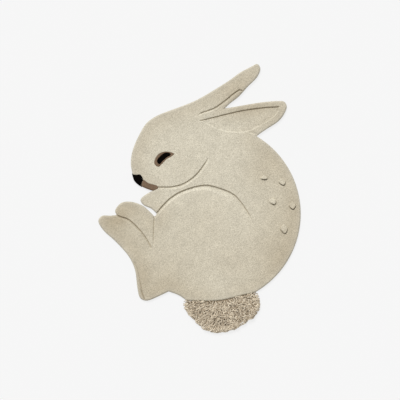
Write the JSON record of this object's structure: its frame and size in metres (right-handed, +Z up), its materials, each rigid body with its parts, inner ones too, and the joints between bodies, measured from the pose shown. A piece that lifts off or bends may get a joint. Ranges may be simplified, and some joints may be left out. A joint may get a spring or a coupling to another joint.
{
  "type": "rabbit shaped kids rug",
  "caption": "Flat tufted wool rug in the shape of a curled rabbit, with lines carved into its pile, a round looped tail and small raised puffs on its back.",
  "frame": {"origin": "under the middle of the rug's box, on the floor", "axes": "+X from the rabbit's toes to its back, +Y from its tail to the tip of its far ear, +Z up out of the pile"},
  "size_m": [0.8999, 1.2, 0.0243],
  "materials": {
    "cream_pile": "short cut wool pile, cream and beige melange, matte",
    "tail_loops": "long looped wool yarn, cream to light brown, matte",
    "puff_pile": "raised tongues of the cream wool pile, matte",
    "black_pile": "short cut black wool pile, matte",
    "brown_pile": "short cut taupe brown wool pile, matte"
  },
  "bodies": {
    "root": {"rabbit_pile": "cream_pile", "tail_pile": "tail_loops", "nose_pile": "black_pile", "muzzle_pile": "brown_pile", "eye_rim_pile": "brown_pile", "eye_pupil_pile": "black_pile", "back_puff_1": "puff_pile", "back_puff_2": "puff_pile", "back_puff_3": "puff_pile", "back_puff_4": "puff_pile", "back_puff_5": "puff_pile"}
  },
  "joints": []
}
